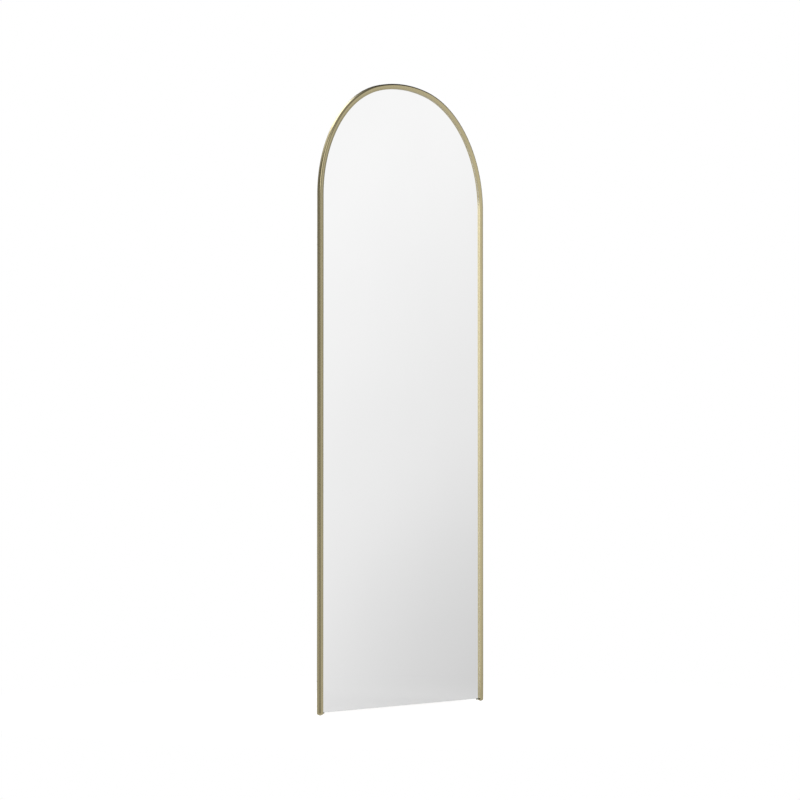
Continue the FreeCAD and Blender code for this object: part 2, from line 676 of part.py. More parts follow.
def hanger_ring(name, side):
    """A D-shaped wire ring, whose straight bar is the axle and which hangs down from it."""
    body = new_body(name)
    path = new_sketch(body, "XZ_Plane", "RingPath", f"-{AXLE_DEPTH}")
    half = "(size.ring_width / 2)"
    middle = f"({side} * size.hanger_spread)"
    bar_end = f"({half} - size.ring_corner)"
    side_top = f"({AXLE_HEIGHT} - size.ring_corner)"
    side_bottom = f"({side_top} - size.ring_side)"
    corners = [
        (middle, AXLE_HEIGHT), (f"({middle} + {bar_end})", AXLE_HEIGHT),
        (f"({middle} + {half})", side_top), (f"({middle} + {half})", side_bottom),
        (middle, f"({side_bottom} - {half})"),
        (f"({middle} - {half})", side_bottom), (f"({middle} - {half})", side_top),
        (f"({middle} - {bar_end})", AXLE_HEIGHT),
    ]
    bends = {1: ("size.ring_corner", -1), 3: (half, -1), 4: (half, -1), 6: ("size.ring_corner", -1)}
    outline(path, corners, bends)
    wire = new_sketch(body, "YZ_Plane", "Wire", middle)
    circle(wire, (AXLE_DEPTH, AXLE_HEIGHT), "size.ring_wire_radius")
    pipe = body.newObject("PartDesign::AdditivePipe", "RingPipe")
    pipe.Profile = wire
    pipe.Spine = path
    return body


upper_rivets = rivet_spots(-1) + rivet_spots(1)
lower_brace = flat_bar("lower_brace", LOWER_BRACE)
upper_brace = flat_bar("upper_brace", UPPER_BRACE, upper_rivets)
hanger_strap_left = hanger_strap("hanger_strap_left", -1)
hanger_strap_right = hanger_strap("hanger_strap_right", 1)
hanger_ring_left = hanger_ring("hanger_ring_left", -1)
hanger_ring_right = hanger_ring("hanger_ring_right", 1)

clip = panel_clip()
clip_screw = pan_screw("clip_screw", "size.clip_screw_radius", "size.clip_head_radius",
                       f"({BACK} + size.clip_thickness)")
brace_screw = pan_screw("brace_screw", "size.brace_screw_radius", "size.brace_head_radius", BRACE_BACK)
rivet = hanger_rivet()
bumper = wall_bumper()
doc.recompute()

# the bumpers sit in the middle of the flat of the rail's back, on the crown
bumper_reach = f"({CROWN_RADIUS} - (size.rail_back_round + size.rail_web) / 2)"
bumper_height = f"(size.overall_height - {CROWN_RADIUS} + sqrt({bumper_reach} ^ 2 - size.bumper_spread ^ 2))"
upright = 0
panel_clips = group("panel_clips", clip, clip_spots())
clip_screws = group("clip_screws", clip_screw, clip_spots())
all_brace_spots = brace_spots(LOWER_BRACE) + brace_spots(UPPER_BRACE)
brace_screws = group("brace_screws", brace_screw, [(*spot, upright) for spot in all_brace_spots])
hanger_rivets = group("hanger_rivets", rivet, [(*spot, upright) for spot in upper_rivets])
wall_bumpers = group("wall_bumpers", bumper,
                     [(f"{side} * size.bumper_spread", bumper_height, upright) for side in (-1, 1)])
doc.recompute()


# ---------------------------------------------------------------- checks and files

NODES = (
    frame_rail, foot_cap_left, foot_cap_right, foot_glide_left, foot_glide_right,
    setting_block_left, setting_block_right, mirror_glass, glazing_gasket, backing_board, bonding_tape,
    panel_clips, clip_screws, lower_brace, upper_brace, brace_screws,
    hanger_strap_left, hanger_strap_right, hanger_rivets, hanger_ring_left, hanger_ring_right, wall_bumpers,
)

for item in doc.Objects:
    if "Invalid" in item.State or "Error" in item.State:
        raise RuntimeError(f"{item.Name} did not compute")
for node in NODES:
    if node.Shape.isNull() or not node.Shape.isValid():
        raise RuntimeError(f"{node.Label} has no valid shape")

os.makedirs("parts", exist_ok=True)
for node in NODES:
    node.Shape.exportStep(os.path.join("parts", f"{node.Label}.step"))
    print(f"{node.Label}: {len(node.Shape.Solids)} solids, {node.Shape.Volume:.1f} mm3")
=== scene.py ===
"""The arched floor mirror as it looks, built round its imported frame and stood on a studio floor.

Lengths are in metres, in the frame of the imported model: the mirror faces -Y and stands on Z = 0.
"""
import math

import bmesh
import bpy
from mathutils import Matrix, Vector


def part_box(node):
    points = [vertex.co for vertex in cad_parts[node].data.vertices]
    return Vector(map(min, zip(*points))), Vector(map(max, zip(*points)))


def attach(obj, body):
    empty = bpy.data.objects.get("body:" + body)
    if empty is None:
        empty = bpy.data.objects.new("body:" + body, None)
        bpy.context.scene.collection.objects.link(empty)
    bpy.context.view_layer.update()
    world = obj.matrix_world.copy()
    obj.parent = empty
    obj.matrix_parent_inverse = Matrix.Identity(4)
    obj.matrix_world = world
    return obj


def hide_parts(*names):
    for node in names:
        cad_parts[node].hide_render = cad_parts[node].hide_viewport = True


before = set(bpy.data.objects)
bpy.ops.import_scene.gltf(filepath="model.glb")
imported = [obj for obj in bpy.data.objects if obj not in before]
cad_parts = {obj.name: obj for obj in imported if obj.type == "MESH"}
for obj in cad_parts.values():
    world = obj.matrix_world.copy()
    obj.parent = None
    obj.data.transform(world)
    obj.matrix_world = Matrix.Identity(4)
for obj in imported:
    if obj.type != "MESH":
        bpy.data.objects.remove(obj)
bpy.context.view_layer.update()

bl_info = {
    "name": "Arched floor mirror",
    "version": (1, 0, 0),
    "blender": (4, 5, 0),
    "location": "3D View > Sidebar > Mirror",
    "description": "Builds the visible pieces of an arched floor mirror round its packed frame",
    "category": "Add Mesh",
}

MM = 0.001

# the photograph's viewpoint: place, turn and upward tilt in degrees, focal length in millimetres
CAMERA_AT = (-7.82, -6.213, 0.730)
CAMERA_TURN = 51.5
CAMERA_TILT = 1.27
FOCAL_LENGTH = 145.17

# straight runs that stand in for the arcs of the arch and of the rail's section
SHOULDER_STEPS, CROWN_STEPS = 80, 16
FRONT_STEPS, FACE_STEPS, LIP_STEPS, BACK_STEPS = 12, 14, 5, 6

# vertices nearer to one another than this are merged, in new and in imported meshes
NEW_WELD, PACKED_WELD = 1e-7, 1e-6


# ---------------------------------------------------------------- sizes and colours


def length_property(name, description, size):
    """A length that the sidebar shows."""
    return bpy.props.FloatProperty(name=name, description=description, default=size, unit="LENGTH")


def colour_property(name, description, value):
    """A colour that the sidebar shows."""
    return bpy.props.FloatVectorProperty(
        name=name, description=description, default=value, size=3, subtype="COLOR")


class MirrorSizes(bpy.types.PropertyGroup):
    """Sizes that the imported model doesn't state by itself."""

    shoulder_spread: length_property(
        "Shoulder spread", "Centre line to the centre of a shoulder arc", 43.5 * MM)
    crown_lift: length_property(
        "Crown lift", "Rise of the arch above its shoulder radius", 4.5 * MM)
    rail_face: length_property(
        "Rail face", "Width of the rail seen from the front", 16.6 * MM)
    rail_web: length_property(
        "Rail web", "Width of the rail behind its lip", 10 * MM)
    lip_depth: length_property(
        "Lip depth", "Depth of the lip over the glass", 5.6 * MM)
    front_round: length_property(
        "Front round", "Radius of the rail's outer front corner", 5 * MM)
    back_round: length_property(
        "Back round", "Radius of the rail's back corners", 2 * MM)
    lip_round: length_property(
        "Lip round", "Radius of the rail's inner front edge", 0.8 * MM)
    face_crown: length_property(
        "Face crown", "Radius of the gently crowned front face", 60 * MM)
    soft_edge: length_property(
        "Soft edge", "Rounding of the edges of bars and straps", 0.25 * MM)


class MirrorColours(bpy.types.PropertyGroup):
    """Base colours of the finishes, as linear values."""

    brass: colour_property("Brass", "Satin brass-coloured rail", (0.48, 0.42, 0.25))
    silver: colour_property("Silver", "Silvered glass", (0.93, 0.93, 0.93))
    board: colour_property("Hardboard", "Smooth hardboard", (0.16, 0.088, 0.044))
    zinc: colour_property("Zinc", "Zinc-plated steel", (0.56, 0.575, 0.59))
    rubber: colour_property("Rubber", "Black rubber", (0.022, 0.022, 0.023))
    nylon: colour_property("Nylon", "Natural nylon", (0.7, 0.67, 0.6))
    tape: colour_property("Tape", "Foam tape", (0.62, 0.62, 0.6))
    floor: colour_property("Floor", "Studio floor", (0.80, 0.80, 0.80))


# ---------------------------------------------------------------- node trees


class Graph:
    """A node tree under construction."""

    def __init__(self, tree):
        self.tree = tree

    def add(self, kind, sockets=None, **settings):
        """Adds a node. Its settings come first, then the values or links of its input sockets."""
        node = self.tree.nodes.new(kind)
        for name, value in settings.items():
            setattr(node, name, value)
        for key, value in (sockets or {}).items():
            self.feed(node.inputs[key], value)
        return node

    def feed(self, socket, value):
        """Links a socket, or sets its value."""
        if isinstance(value, Varying):
            value = value.socket
        if isinstance(value, bpy.types.NodeSocket):
            self.tree.links.new(value, socket)
        else:
            socket.default_value = value


class Varying:
    """A number that changes over a surface. Operators on it add Math nodes."""

    def __init__(self, graph, socket):
        self.graph = graph
        self.socket = socket

    def maths(self, operation, *values):
        """A Math node on some values."""
        node = self.graph.add("ShaderNodeMath", dict(enumerate(values)), operation=operation)
        return Varying(self.graph, node.outputs[0])

    def __add__(self, other):
        return self.maths("ADD", self, other)

    def __radd__(self, other):
        return self.maths("ADD", other, self)

    def __sub__(self, other):
        return self.maths("SUBTRACT", self, other)

    def __rsub__(self, other):
        return self.maths("SUBTRACT", other, self)

    def __mul__(self, other):
        return self.maths("MULTIPLY", self, other)

    def between(self, low, high):
        """Rises smoothly from 0 at low to 1 at high."""
        node = self.graph.add(
            "ShaderNodeMapRange", {"Value": self, "From Min": low, "From Max": high},
            interpolation_type="SMOOTHSTEP")
        return Varying(self.graph, node.outputs["Result"])


class Finish(Graph):
    """A procedural material with one Principled shader."""

    def __init__(self, name, **constants):
        self.material = bpy.data.materials.new(name)
        self.material.use_nodes = True
        super().__init__(self.material.node_tree)
        self.tree.nodes.clear()
        self.shader = self.add("ShaderNodeBsdfPrincipled", constants)
        self.output = self.add("ShaderNodeOutputMaterial", {"Surface": self.shader.outputs[0]})

    def place(self, stretch=(1, 1, 1)):
        """Object coordinates, stretched along the axes."""
        coordinates = self.add("ShaderNodeTexCoord")
        mapping = self.add(
            "ShaderNodeMapping", {"Vector": coordinates.outputs["Object"], "Scale": stretch})
        return mapping.outputs[0]

    def axis(self, name):
        """One of the object coordinates."""
        coordinates = self.add("ShaderNodeTexCoord")
        parts = self.add("ShaderNodeSeparateXYZ", {0: coordinates.outputs["Object"]})
        return Varying(self, parts.outputs[name])

    def attribute(self, name):
        """A number stored on the mesh."""
        return Varying(self, self.add("ShaderNodeAttribute", attribute_name=name).outputs["Fac"])

    def vector(self, x, y, z):
        """A vector from three numbers."""
        return self.add("ShaderNodeCombineXYZ", {0: x, 1: y, 2: z}).outputs[0]

    def noise(self, where, scale, detail=2.0, roughness=0.5):
        """Cloudy noise from 0 to 1."""
        node = self.add(
            "ShaderNodeTexNoise",
            {"Vector": where, "Scale": scale, "Detail": detail, "Roughness": roughness})
        return Varying(self, node.outputs["Fac"])

    def cells(self, where, scale):
        """A random number from 0 to 1 for each cell."""
        node = self.add("ShaderNodeTexVoronoi", {"Vector": where, "Scale": scale})
        parts = self.add("ShaderNodeSeparateColor", {0: node.outputs["Color"]})
        return Varying(self, parts.outputs[0])

    def blend(self, amount, first, second):
        """A colour between two colours."""
        node = self.add(
            "ShaderNodeMix", {0: amount, 6: opaque(first), 7: opaque(second)}, data_type="RGBA")
        return node.outputs[2]

    def finish(self, colour=None, roughness=None, metallic=None, height=None, depth=0.0):
        """Feeds the shader and gives the material."""
        for name, value in (("Base Color", colour), ("Roughness", roughness), ("Metallic", metallic)):
            if value is not None:
                self.feed(self.shader.inputs[name], value)
        if height is not None:
            bump = self.add("ShaderNodeBump", {"Height": height, "Strength": 1.0, "Distance": depth})
            self.feed(self.shader.inputs["Normal"], bump.outputs[0])
        return self.material


def opaque(colour):
    """A colour with its alpha, or a link as it is."""
    return colour if isinstance(colour, bpy.types.NodeSocket) else (*colour, 1.0)


def shade(colour, factor):
    """A darker or lighter copy of a colour."""
    return tuple(min(1.0, part * factor) for part in colour)


# ---------------------------------------------------------------- finishes


def brass_finish(colour):
    """Satin brass-coloured metal on the rail, brushed along its length, with painted shade on its two
    outer corners.
    """
    finish = Finish("satin_brass", Metallic=1.0)
    along, around = finish.attribute("along"), finish.attribute("around")
    grain = finish.noise(finish.vector(along * 6.0, around * 900.0, 0.0), 1.0, 3.0, 0.6)
    streaks = finish.noise(finish.vector(along * 1.5, around * 260.0, 0.0), 1.0, 2.0)
    clouds = finish.noise(finish.place(), 5.0, 3.0)
    tone = finish.blend(clouds.between(0.3, 0.7), shade(colour, 0.95), shade(colour, 1.03))
    tone = finish.blend(streaks.between(0.35, 0.75) * 0.35, tone, shade(colour, 0.86))
    # painted shade darkens the two outer corners, where the section starts and ends, in place of the dark
    # reflections that they catch
    painted_front_shade = around.between(0.0, 1.0 * MM) * around.between(8.5 * MM, 6.5 * MM)
    painted_back_shade = around.between(45.8 * MM, 46.8 * MM) * around.between(50.0 * MM, 49.0 * MM)
    tone = finish.blend((painted_front_shade + painted_back_shade) * 0.85, tone, shade(colour, 0.35))
    roughness = 0.19 + (grain - 0.5) * 0.08 + clouds * 0.04
    return finish.finish(tone, roughness, height=grain, depth=0.01 * MM)


def foot_finish(colour):
    """The rail's metal where it is formed round the end of a leg, darker towards the floor."""
    finish = Finish("satin_brass_foot", Metallic=1.0)
    grain = finish.noise(finish.place((1.0, 1.0, 0.02)), 900.0, 3.0, 0.6)
    clouds = finish.noise(finish.place(), 60.0, 3.0)
    low = finish.axis("Z").between(0.5 * MM, 4.0 * MM)
    tone = finish.blend(clouds.between(0.3, 0.7), shade(colour, 0.93), shade(colour, 1.02))
    # the tone darkens towards the floor, below 4 mm
    tone = finish.blend((1.0 - low) * 0.5, tone, shade(colour, 0.6))
    return finish.finish(tone, 0.2 + clouds * 0.08, height=grain, depth=0.01 * MM)


def silver_finish(colour):
    """Silvered glass: a mirror on its front, a ground green edge, and grey paint on its back."""
    low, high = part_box("mirror_glass")
    skin, fade = 0.02 * MM, 0.06 * MM
    dark_edge, pale_edge = (0.12, 0.26, 0.2), (0.2, 0.36, 0.29)
    dark_paint, pale_paint = (0.2, 0.21, 0.22), (0.26, 0.27, 0.28)
    polished = 0.015
    finish = Finish("silvered_glass")
    depth = finish.axis("Y")
    mirror = 1.0 - depth.between(low[1] + skin, low[1] + fade)
    paint = depth.between(high[1] - fade, high[1] - skin)
    glass_glow = finish.noise(finish.place(), 2.5, 3.0)
    frost = finish.noise(finish.place(), 2500.0, 2.0)
    specks = finish.noise(finish.place(), 700.0, 2.0)
    silver = finish.blend(glass_glow.between(0.35, 0.65), colour, shade(colour, 0.992))
    edge = finish.blend(frost.between(0.3, 0.7), dark_edge, pale_edge)
    back = finish.blend(specks.between(0.4, 0.7), dark_paint, pale_paint)
    tone = finish.blend(paint, edge, back)
    tone = finish.blend(mirror, tone, silver)
    ground = 0.42 + frost * 0.12
    roughness = ground - mirror * (ground - polished) + paint * 0.1
    return finish.finish(tone, roughness, metallic=mirror)


def board_finish(colour):
    """Smooth hardboard: pressed fibres, faint blotches and dust."""
    finish = Finish("hardboard")
    fibres = finish.noise(finish.place((1.0, 1.0, 0.35)), 900.0, 4.0, 0.65)
    blotches = finish.noise(finish.place(), 9.0, 4.0)
    flecks = finish.cells(finish.place((1.0, 1.0, 0.4)), 520.0)
    tone = finish.blend(fibres.between(0.3, 0.7), shade(colour, 0.78), shade(colour, 1.22))
    tone = finish.blend(blotches.between(0.35, 0.7) * 0.5, tone, shade(colour, 0.8))
    tone = finish.blend(flecks.between(0.93, 0.99) * 0.6, tone, shade(colour, 2.1))
    return finish.finish(tone, 0.44 + fibres * 0.22, height=fibres, depth=0.06 * MM)


def zinc_finish(colour):
    """Zinc plating: small crystals, fine scratches and a bluish cast."""
    finish = Finish("zinc_plate", Metallic=1.0)
    crystals = finish.cells(finish.place(), 420.0)
    clouds = finish.noise(finish.place(), 30.0, 4.0)
    scratches = finish.noise(finish.place((0.05, 1.0, 1.0)), 1500.0, 2.0)
    tone = finish.blend(crystals * 0.6, shade(colour, 0.9), shade(colour, 1.08))
    tone = finish.blend(clouds.between(0.45, 0.75) * 0.45, tone, shade(colour, 0.74))
    roughness = 0.26 + crystals * 0.1 + clouds * 0.12
    return finish.finish(tone, roughness, height=scratches, depth=0.02 * MM)


def rubber_finish(colour):
    """Moulded black rubber with a dusty bloom."""
    finish = Finish("black_rubber")
    grit = finish.noise(finish.place(), 1800.0, 3.0)
    bloom = finish.noise(finish.place(), 160.0, 3.0)
    tone = finish.blend(bloom.between(0.4, 0.8), colour, shade(colour, 2.4))
    return finish.finish(tone, 0.6 + grit * 0.25, height=grit, depth=0.03 * MM)


def nylon_finish(colour):
    """Natural nylon, scuffed near the floor."""
    finish = Finish("natural_nylon", **{"Subsurface Weight": 0.15, "Subsurface Scale": 2 * MM})
    grit = finish.noise(finish.place(), 1500.0, 3.0)
    clean = finish.axis("Z").between(0.0, 0.6 * MM)
    tone = finish.blend(grit.between(0.3, 0.7), shade(colour, 0.92), colour)
    tone = finish.blend((1.0 - clean) * 0.6, tone, shade(colour, 0.5))
    return finish.finish(tone, 0.4 + grit * 0.2, height=grit, depth=0.02 * MM)


def tape_finish(colour):
    """White foam tape, with its open cells."""
    finish = Finish("foam_tape")
    cells = finish.noise(finish.place(), 2200.0, 3.0)
    tone = finish.blend(cells.between(0.3, 0.7), shade(colour, 0.8), shade(colour, 1.1))
    return finish.finish(tone, 0.75 + cells * 0.15, height=cells, depth=0.08 * MM)


FINISHES = {}


def prepare_finishes():
    """Makes every finish once."""
    colours = bpy.context.scene.floor_mirror_colours
    FINISHES.update(
        brass=brass_finish(colours.brass),
        foot=foot_finish(colours.brass),
        silver=silver_finish(colours.silver),
        board=board_finish(colours.board),
        zinc=zinc_finish(colours.zinc),
        rubber=rubber_finish(colours.rubber),
        nylon=nylon_finish(colours.nylon),
        tape=tape_finish(colours.tape),
    )


# ---------------------------------------------------------------- mesh helpers


def new_object(name, data):
    """Puts a mesh or a curve in the scene."""
    item = bpy.data.objects.new(name, data)
    bpy.context.collection.objects.link(item)
    return item


def mesh_object(name, shape):
    """An object from a bmesh, which it uses up."""
    bmesh.ops.remove_doubles(shape, verts=shape.verts, dist=NEW_WELD)
    bmesh.ops.recalc_face_normals(shape, faces=shape.faces)
    mesh = bpy.data.meshes.new(name)
    shape.to_mesh(mesh)
    shape.free()
    return new_object(name, mesh)


def refinish(node, finish):
    """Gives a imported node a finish."""
    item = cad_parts[node]
    for slot in item.material_slots:
        slot.material = FINISHES[finish]
    return item


def round_edges(item, width, angle):
    """Rounds the edges of an object that are sharper than an angle in degrees."""
    bevel = item.modifiers.new("soft_edges", "BEVEL")
    bevel.width = width
    bevel.segments = 2
    bevel.limit_method = "ANGLE"
    bevel.angle_limit = math.radians(angle)


def smooth(mesh):
    """Shades a mesh smooth, except over edges sharper than 35 degrees."""
    mesh.polygons.foreach_set("use_smooth", [True] * len(mesh.polygons))
    mesh.set_sharp_from_angle(angle=math.radians(35))


def settle(item, name):
    """Turns an object with modifiers into a plain mesh object that takes its place."""
    graph = bpy.context.evaluated_depsgraph_get()
    mesh = bpy.data.meshes.new_from_object(item.evaluated_get(graph), depsgraph=graph)
    mesh.name = name
    remove(item)
    return new_object(name, mesh)


def remove(item):
    """Takes an object and its data out of the scene."""
    data = item.data
    bpy.data.objects.remove(item)
    if isinstance(data, bpy.types.Mesh):
        bpy.data.meshes.remove(data)
    else:
        bpy.data.curves.remove(data)


def lathe(profile, steps):
    """Turns (radius, y) points about the Y axis."""
    shape = bmesh.new()
    angles = [2 * math.pi * step / steps for step in range(steps)]
    rings = []
    for radius, depth in profile:
        if radius == 0:
            rings.append([shape.verts.new((0, depth, 0))] * steps)
            continue
        rings.append([
            shape.verts.new((radius * math.cos(angle), depth, radius * math.sin(angle)))
            for angle in angles])
    for first, second in zip(rings, rings[1:]):
        for step in range(steps):
            following = (step + 1) % steps
            corners = [first[step], first[following], second[following], second[step]]
            shape.faces.new(dict.fromkeys(corners))
    return shape


def islands(node):
    """The box of each separate solid of a packed group, as (low, high)."""
    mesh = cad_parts[node].data
    shape = bmesh.new()
    shape.from_mesh(mesh)
    bmesh.ops.remove_doubles(shape, verts=shape.verts, dist=PACKED_WELD)
    left = set(shape.verts)
    boxes = []
    while left:
        reached = [left.pop()]
        points = []
        while reached:
            vertex = reached.pop()
            points.append(vertex.co.copy())
            for edge in vertex.link_edges:
                other = edge.other_vert(vertex)
                if other in left:
                    left.remove(other)
                    reached.append(other)
        low = Vector([min(point[axis] for point in points) for axis in range(3)])
        high = Vector([max(point[axis] for point in points) for axis in range(3)])
        boxes.append((low, high))
    shape.free()
    return sorted(boxes, key=lambda box: (round(box[0].z, 4), box[0].x))


def middles(boxes):
    """The middle of each box."""
    return [(low + high) / 2 for low, high in boxes]


# ---------------------------------------------------------------- geometry node trees


def new_tree(name, inputs):
    """A geometry node tree with named inputs, each given as (name, socket type)."""
    tree = bpy.data.node_groups.new(name, "GeometryNodeTree")
    tree.interface.new_socket("Geometry", in_out="INPUT", socket_type="NodeSocketGeometry")
    for label, kind in inputs:
        tree.interface.new_socket(label, in_out="INPUT", socket_type=kind)
    tree.interface.new_socket("Geometry", in_out="OUTPUT", socket_type="NodeSocketGeometry")
    graph = Graph(tree)
    return graph, graph.add("NodeGroupInput").outputs


def use_tree(item, graph, values):
    """Puts a tree on an object and sets its inputs by their identifiers."""
    modifier = item.modifiers.new(graph.tree.name, "NODES")
    modifier.node_group = graph.tree
    identifiers = {
        socket.name: socket.identifier
        for socket in graph.tree.interface.items_tree if socket.in_out == "INPUT"}
    for label, value in values.items():
        modifier[identifiers[label]] = value


def sweep_tree():
    """A section swept along a path, which notes how far along and around each point lies."""
    graph, given = new_tree("sweep_section", [
        ("Section", "NodeSocketObject"), ("Finish", "NodeSocketMaterial")])
    length = graph.add("GeometryNodeSplineParameter").outputs["Length"]
    path = graph.add(
        "GeometryNodeStoreNamedAttribute",
        {"Geometry": given["Geometry"], "Name": "along", "Value": length},
        data_type="FLOAT", domain="POINT")
    path = graph.add(
        "GeometryNodeSetCurveNormal", {"Curve": path.outputs[0], "Normal": (0, 1, 0)}, mode="FREE")
    section = graph.add(
        "GeometryNodeObjectInfo", {"Object": given["Section"]}, transform_space="ORIGINAL")
    section = graph.add(
        "GeometryNodeStoreNamedAttribute",
        {"Geometry": section.outputs["Geometry"], "Name": "around",
         "Value": graph.add("GeometryNodeSplineParameter").outputs["Length"]},
        data_type="FLOAT", domain="POINT")
    swept = graph.add(
        "GeometryNodeCurveToMesh",
        {"Curve": path.outputs[0], "Profile Curve": section.outputs[0], "Fill Caps": True})
    swept = graph.add("GeometryNodeRealizeInstances", {0: swept.outputs[0]})
    swept = graph.add(
        "GeometryNodeSetMaterial", {"Geometry": swept.outputs[0], "Material": given["Finish"]})
    graph.add("NodeGroupOutput", {0: swept.outputs[0]})
    return graph


def set_out_tree():
    """Copies of a small piece on points, each turned by its own angle and a little at random."""
    graph, given = new_tree("set_out", [
        ("Piece", "NodeSocketObject"), ("Finish", "NodeSocketMaterial"),
        ("Loose Turn", "NodeSocketFloat"), ("Seed", "NodeSocketInt")])
    piece = graph.add(
        "GeometryNodeObjectInfo", {"Object": given["Piece"]}, transform_space="ORIGINAL")
    direction = graph.add(
        "GeometryNodeInputNamedAttribute", {"Name": "direction"}, data_type="FLOAT")
    chance = graph.add(
        "FunctionNodeRandomValue", {"Min": 0.0, "Max": 1.0, "Seed": given["Seed"]},
        data_type="FLOAT")
    loose = graph.add(
        "ShaderNodeMath", {0: chance.outputs["Value"], 1: given["Loose Turn"]}, operation="MULTIPLY")
    turn = graph.add("ShaderNodeMath", {0: direction.outputs[0], 1: loose.outputs[0]}, operation="ADD")
    turned = graph.add("ShaderNodeCombineXYZ", {1: turn.outputs[0]})
    copies = graph.add(
        "GeometryNodeInstanceOnPoints",
        {"Points": given["Geometry"], "Instance": piece.outputs["Geometry"],
         "Rotation": turned.outputs[0]})
    copies = graph.add("GeometryNodeRealizeInstances", {0: copies.outputs[0]})
    copies = graph.add(
        "GeometryNodeSetMaterial", {"Geometry": copies.outputs[0], "Material": given["Finish"]})
    graph.add("NodeGroupOutput", {0: copies.outputs[0]})
    return graph


def set_out(name, master, spots, finish, node, loose_turn=0.0, seed=1):
    """Sets out copies of a master piece on spots (x, y, z, direction), in place of a packed group."""
    mesh = bpy.data.meshes.new(name)
    mesh.from_pydata([spot[:3] for spot in spots], [], [])
    directions = mesh.attributes.new("direction", "FLOAT", "POINT")
    directions.data.foreach_set("value", [spot[3] for spot in spots])
    points = new_object(name + "_spots", mesh)
    use_tree(points, set_out_tree(), {
        "Piece": master, "Finish": FINISHES[finish], "Loose Turn": loose_turn, "Seed": seed})
    group = settle(points, name)
    remove(master)
    smooth(group.data)
    stand_in(group, node)


def stand_in(piece, *nodes):
    """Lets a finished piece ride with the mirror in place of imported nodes."""
    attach(piece, "mirror")
    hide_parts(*nodes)


# ---------------------------------------------------------------- the rail


def arc(centre, radius, start, end, steps):
    """Points on an arc, from one angle to another in degrees."""
    angles = [math.radians(start + (end - start) * step / steps) for step in range(steps + 1)]
    return [
        (centre[0] + radius * math.cos(angle), centre[1] + radius * math.sin(angle))
        for angle in angles]


def arch_path(half_width, top, bottom, spread, lift):
    """The rail's outer line as (x, z), from the left foot over the arch to the right foot."""
    shoulder = half_width - spread
    spring = top - shoulder - lift
    gap = (spread ** 2 + lift ** 2) / (2 * lift)
    crown_centre = (0, top - shoulder - gap)
    lean = math.degrees(math.atan2(spread, spring - crown_centre[1]))
    left = arc((-spread, spring), shoulder, 180, 90 + lean, SHOULDER_STEPS)
    crown = arc(crown_centre, shoulder + gap, 90 + lean, 90 - lean, CROWN_STEPS)
    right = arc((spread, spring), shoulder, 90 - lean, 0, SHOULDER_STEPS)
    return [(-half_width, bottom), *left, *crown[1:-1], *right, (half_width, bottom)]


def rail_section(sizes, depth):
    """The rail's closed section as (inset from the outer face, depth behind the front)."""
    face, web, lip = sizes.rail_face, sizes.rail_web, sizes.lip_depth
    crown, front = sizes.face_crown, sizes.front_round
    back, edge = sizes.back_round, sizes.lip_round
    across = face - edge - front
    reach = crown - edge
    lip_centre = (face - edge, crown - math.sqrt(reach ** 2 - across ** 2))
    meeting = math.degrees(math.asin(across / reach))
    points = arc((front, front), front, 180, 270, FRONT_STEPS)
    points += arc((front, crown), crown, 270, 270 + meeting, FACE_STEPS)[1:]
    points += arc(lip_centre, edge, 270 + meeting, 360, LIP_STEPS)[1:]
    points += [(face, lip), (web, lip), (web, depth)]
    points += arc((back, depth - back), back, 90, 180, BACK_STEPS)
    return points


def poly_curve(name, points, closed):
    """A curve of straight runs through points."""
    data = bpy.data.curves.new(name, "CURVE")
    data.dimensions = "3D"
    spline = data.splines.new("POLY")
    spline.points.add(len(points) - 1)
    spline.points.foreach_set("co", [part for point in points for part in (*point, 1.0)])
    spline.use_cyclic_u = closed
    return new_object(name, data)


class SweepRail(bpy.types.Operator):
    """Sweeps the rail's section round the arch"""

    bl_idname = "floor_mirror.sweep_rail"
    bl_label = "Rail"

    def execute(self, context):
        sizes = context.scene.floor_mirror_sizes
        tolerance = 0.2 * MM
        low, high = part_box("frame_rail")
        outline = rail_section(sizes, high[1] - low[1])
        corners = arch_path(high[0], high[2], low[2], sizes.shoulder_spread, sizes.crown_lift)
        section = poly_curve("rail_section", [(depth, -inset, 0) for inset, depth in outline], True)
        path = poly_curve("rail_path", [(x, low[1], z) for x, z in corners], False)
        use_tree(path, sweep_tree(), {"Section": section, "Finish": FINISHES["brass"]})
        rail = settle(path, "rail")
        remove(section)
        smooth(rail.data)
        for axis in range(3):
            values = [vertex.co[axis] for vertex in rail.data.vertices]
            start, end = min(values), max(values)
            if max(abs(start - low[axis]), abs(end - high[axis])) > tolerance:
                raise RuntimeError(f"the rail leaves its place: {start} to {end} on axis {axis}")
        stand_in(rail, "frame_rail")
        return {"FINISHED"}


class FinishFeet(bpy.types.Operator):
    """Finishes the ends of the legs and their glides"""

    bl_idname = "floor_mirror.finish_feet"
    bl_label = "Feet"

    def execute(self, context):
        cap_edge = 0.3 * MM
        for side in ("left", "right"):
            round_edges(refinish(f"foot_cap_{side}", "foot"), cap_edge, 30)
            refinish(f"foot_glide_{side}", "nylon")
        return {"FINISHED"}


# ---------------------------------------------------------------- the panel


class FinishGlass(bpy.types.Operator):
    """Silvers the glass"""

    bl_idname = "floor_mirror.finish_glass"
    bl_label = "Glass"

    def execute(self, context):
        refinish("mirror_glass", "silver")
        return {"FINISHED"}


class FinishPacking(bpy.types.Operator):
    """Finishes the board, the tape and the rubber round the glass"""

    bl_idname = "floor_mirror.finish_packing"
    bl_label = "Board and packing"

    def execute(self, context):
        for node, finish in (
                ("backing_board", "board"), ("bonding_tape", "tape"), ("glazing_gasket", "tape"),
                ("setting_block_left", "rubber"), ("setting_block_right", "rubber")):
            refinish(node, finish)
        return {"FINISHED"}


# ---------------------------------------------------------------- fittings on the back


